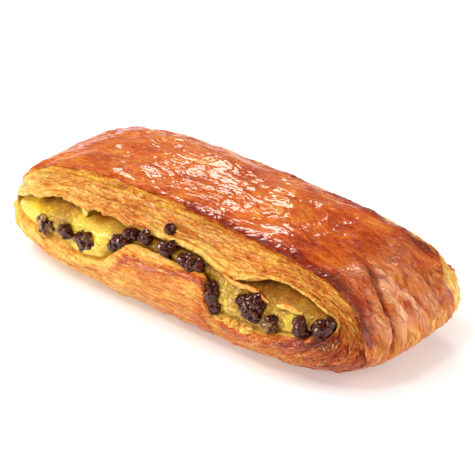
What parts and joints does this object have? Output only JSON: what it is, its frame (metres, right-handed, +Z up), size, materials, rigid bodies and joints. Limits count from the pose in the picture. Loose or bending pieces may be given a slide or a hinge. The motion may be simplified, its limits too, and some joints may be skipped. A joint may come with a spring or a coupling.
{
  "type": "pain suisse",
  "caption": "Baked bar of laminated dough folded round a custard filling with clusters of chocolate chips at both long cut sides.",
  "frame": {"origin": "middle of the base, on the surface it rests on", "axes": "+X along the bar towards the heavier folded end, -Y towards the front cut side, +Z up"},
  "size_m": [0.1514, 0.0686, 0.0359],
  "materials": {
    "baked_dough": "glazed crust on top, flaky layers at the cut sides",
    "baked_custard": "moist",
    "dark_chocolate": "softened and glossy"
  },
  "bodies": {
    "root": {"dough": "baked_dough", "custard": "baked_custard", "chips_front_01": "dark_chocolate", "chips_front_02": "dark_chocolate", "chips_front_03": "dark_chocolate", "chips_front_04": "dark_chocolate", "chips_front_05": "dark_chocolate", "chips_front_06": "dark_chocolate", "chips_front_07": "dark_chocolate", "chips_front_08": "dark_chocolate", "chips_front_09": "dark_chocolate", "chips_front_10": "dark_chocolate", "chips_front_11": "dark_chocolate", "chips_front_12": "dark_chocolate", "chips_front_13": "dark_chocolate", "chips_back_01": "dark_chocolate", "chips_back_02": "dark_chocolate", "chips_back_03": "dark_chocolate", "chips_back_04": "dark_chocolate", "chips_back_05": "dark_chocolate", "chips_back_06": "dark_chocolate", "chips_back_07": "dark_chocolate", "chips_back_08": "dark_chocolate"}
  },
  "joints": []
}
